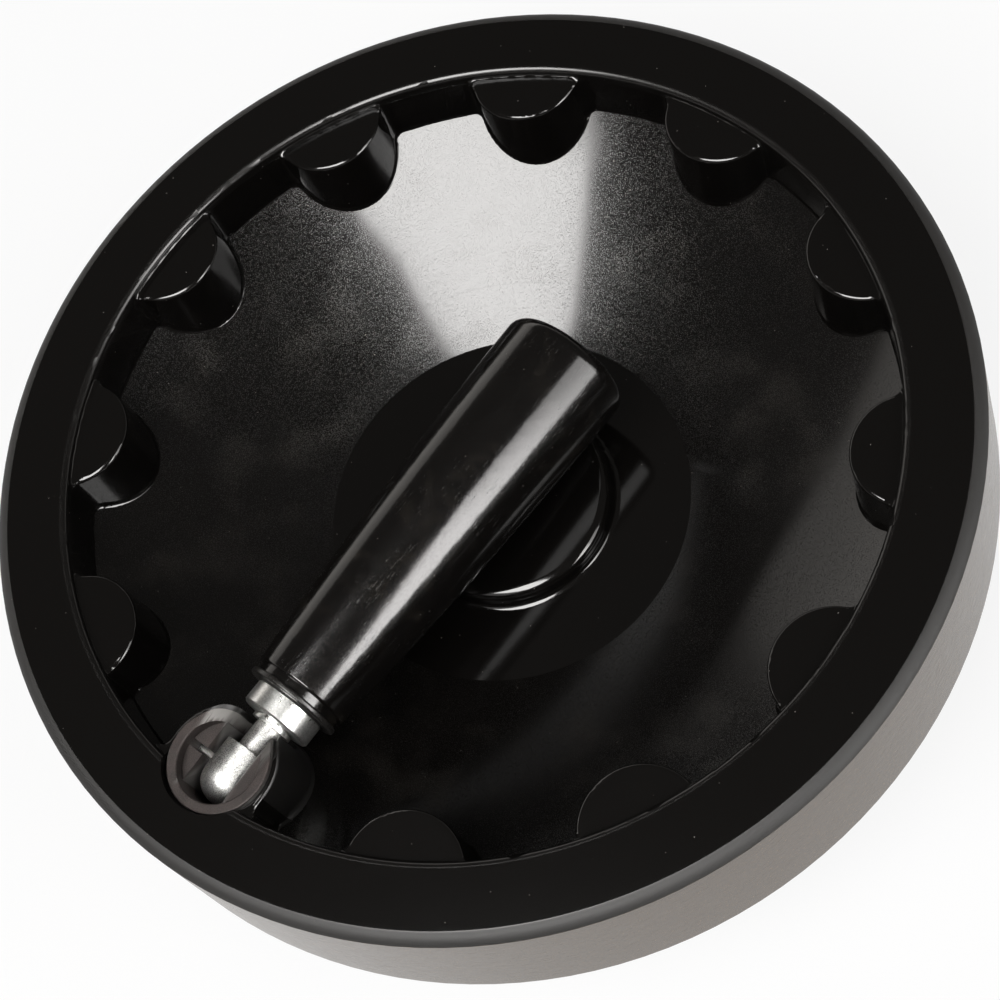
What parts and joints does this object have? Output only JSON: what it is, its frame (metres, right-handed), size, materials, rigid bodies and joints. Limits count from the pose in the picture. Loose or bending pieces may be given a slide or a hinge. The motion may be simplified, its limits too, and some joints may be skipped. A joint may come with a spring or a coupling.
{
  "type": "machine handwheel",
  "caption": "Dished solid-disc handwheel with finger lobes inside its rim and a spring-locked revolving handle that folds flat into the dish.",
  "frame": {"origin": "centre of the shaft bore at the hub's back face", "axes": "+Z along the shaft axis, out of the wheel's front; -X towards the handle's socket, with the folded handle lying along +X"},
  "size_m": [0.2, 0.2, 0.06],
  "materials": {
    "disc_black": "glossy moulded",
    "grip_black": "glossy moulded",
    "ring_black": "satin",
    "bush_steel": "turned",
    "cup_zinc_alloy": "die-cast, matte",
    "plated_steel": "zinc plated",
    "blasted_steel": "blasted and plated",
    "spring_steel": "drawn wire"
  },
  "bodies": {
    "wheel": {"wheel_disc": "disc_black", "hub_bush": "bush_steel", "handle_socket": "cup_zinc_alloy", "socket_screw": "plated_steel", "socket_washer": "spring_steel", "pivot_pin": "plated_steel"},
    "rod": {"handle_rod": "blasted_steel", "spring_seat": "plated_steel", "rod_end_screw": "plated_steel", "sleeve_spring": "spring_steel"},
    "sleeve": {"lock_sleeve": "plated_steel", "grip_ring": "ring_black", "snap_ring": "spring_steel"},
    "revolving_grip": {"grip": "grip_black"}
  },
  "joints": [
    {"name": "handle_fold", "type": "hinge", "parent": "wheel", "child": "rod", "pos_m": [-0.078, 0, 0.05], "axis": [0, -1, 0], "range_deg": [0, 93.4]},
    {"name": "sleeve_pull", "type": "slide", "parent": "rod", "child": "sleeve", "axis": [0.9982, 0, -0.0593], "range_m": [0, 0.003], "stiffness_N_per_m": 1500, "springref_m": -0.006, "deforming": ["sleeve_spring"]},
    {"name": "grip_spin", "type": "hinge", "parent": "sleeve", "child": "revolving_grip", "pos_m": [-0.03807, 0, 0.04763], "axis": [0.9982, 0, -0.0593], "continuous": true}
  ]
}
